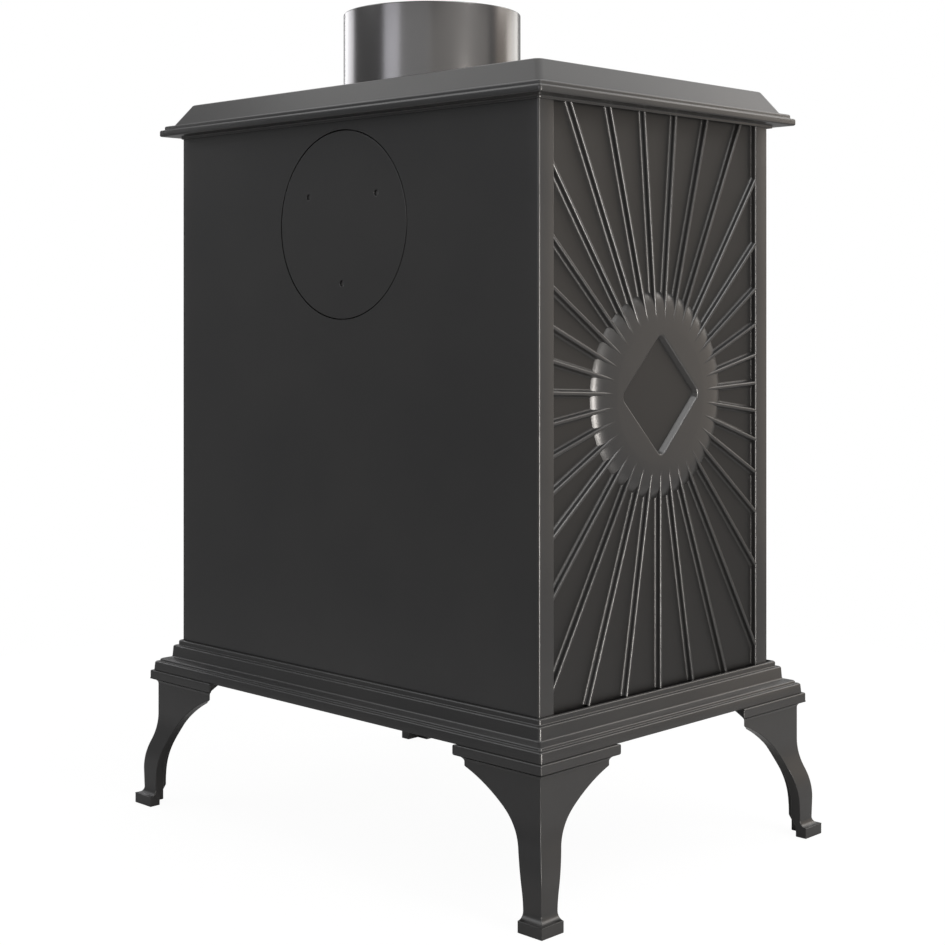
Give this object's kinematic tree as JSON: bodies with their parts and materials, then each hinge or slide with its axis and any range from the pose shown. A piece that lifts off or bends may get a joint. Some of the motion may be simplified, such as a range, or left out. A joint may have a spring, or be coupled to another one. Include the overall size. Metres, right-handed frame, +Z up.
{
  "type": "cast iron stove",
  "caption": "Small solid-fuel cast iron stove on bracket legs with sunburst side panels, hinged glazed door, ash drawer, air controls and a round top flue collar.",
  "frame": {"origin": "on the floor, under the middle of the box round the whole stove", "axes": "+Z up, +Y towards the plain back with the rear outlet, +X to the right as seen from the door side"},
  "size_m": [0.3476, 0.2782, 0.492],
  "materials": {
    "black_iron": "charcoal stove paint, satin-matt, over fine sand-cast iron",
    "flue_steel": "smooth dark grey satin stove paint on a turned collar",
    "fixings": "blackened steel screws, rods and nuts",
    "inner_steel": "plain pressed steel",
    "hot_iron": "bare cast iron, dulled by heat",
    "bright_steel": "turned steel, satin",
    "seal": "dark glass-fibre rope and tape",
    "firebrick": "pale vermiculite firebrick",
    "window": "clear heat-proof ceramic glass"
  },
  "bodies": {
    "stove": {"base_plinth": "black_iron", "leg_rear_right": "black_iron", "leg_rear_left": "black_iron", "leg_front_right": "black_iron", "leg_front_left": "black_iron", "leg_bolts": "fixings", "back_panel": "black_iron", "rear_cover": "black_iron", "rear_cover_gasket": "seal", "rear_cover_clamp": "inner_steel", "rear_cover_screws": "fixings", "side_panel_left": "black_iron", "side_panel_right": "black_iron", "top_plate": "black_iron", "flue_collar": "flue_steel", "collar_gasket": "seal", "collar_clamp": "inner_steel", "collar_screws": "fixings", "tie_rods": "fixings", "tie_nuts": "fixings", "front_frame": "black_iron", "hinge_pins": "fixings", "air_slide_screws": "fixings", "air_deflector": "inner_steel", "ash_runners": "inner_steel", "fire_bed": "hot_iron", "grate": "hot_iron", "firebrick_left": "firebrick", "firebrick_right": "firebrick", "firebrick_back": "firebrick", "baffle": "firebrick", "log_guard": "hot_iron"},
    "door": {"door": "black_iron", "door_rope": "seal", "door_glass": "window", "glass_seal": "seal", "glass_clips": "inner_steel", "clip_screws": "fixings"},
    "door_handle": {"handle_spindle": "bright_steel", "handle_lever": "bright_steel", "handle_grip": "bright_steel", "latch_cam": "inner_steel", "latch_nut": "fixings"},
    "air_control": {"air_slide": "black_iron", "air_knob": "bright_steel"},
    "ash_drawer": {"ash_front": "black_iron", "ash_pan": "inner_steel", "pan_screws": "fixings", "drawer_pull": "bright_steel"},
    "draught_wheel": {"spin_vent": "black_iron"}
  },
  "joints": [
    {"name": "door_hinge", "type": "hinge", "parent": "stove", "child": "door", "pos_m": [-0.129, -0.09615, 0.274], "axis": [0, 0, -1], "range_deg": [0, 110]},
    {"name": "handle_turn", "type": "hinge", "parent": "door", "child": "door_handle", "pos_m": [0.096, -0.09915, 0.274], "axis": [0, 1, 0], "range_deg": [0, 90]},
    {"name": "air_slide_travel", "type": "slide", "parent": "stove", "child": "air_control", "axis": [1, 0, 0], "range_m": [0, 0.013]},
    {"name": "ash_drawer_pull", "type": "slide", "parent": "stove", "child": "ash_drawer", "axis": [0, -1, 0], "range_m": [0, 0.12]},
    {"name": "draught_wheel_turn", "type": "hinge", "parent": "ash_drawer", "child": "draught_wheel", "pos_m": [0, -0.08815, 0.136], "axis": [0, 1, 0], "range_deg": [0, 45]}
  ]
}
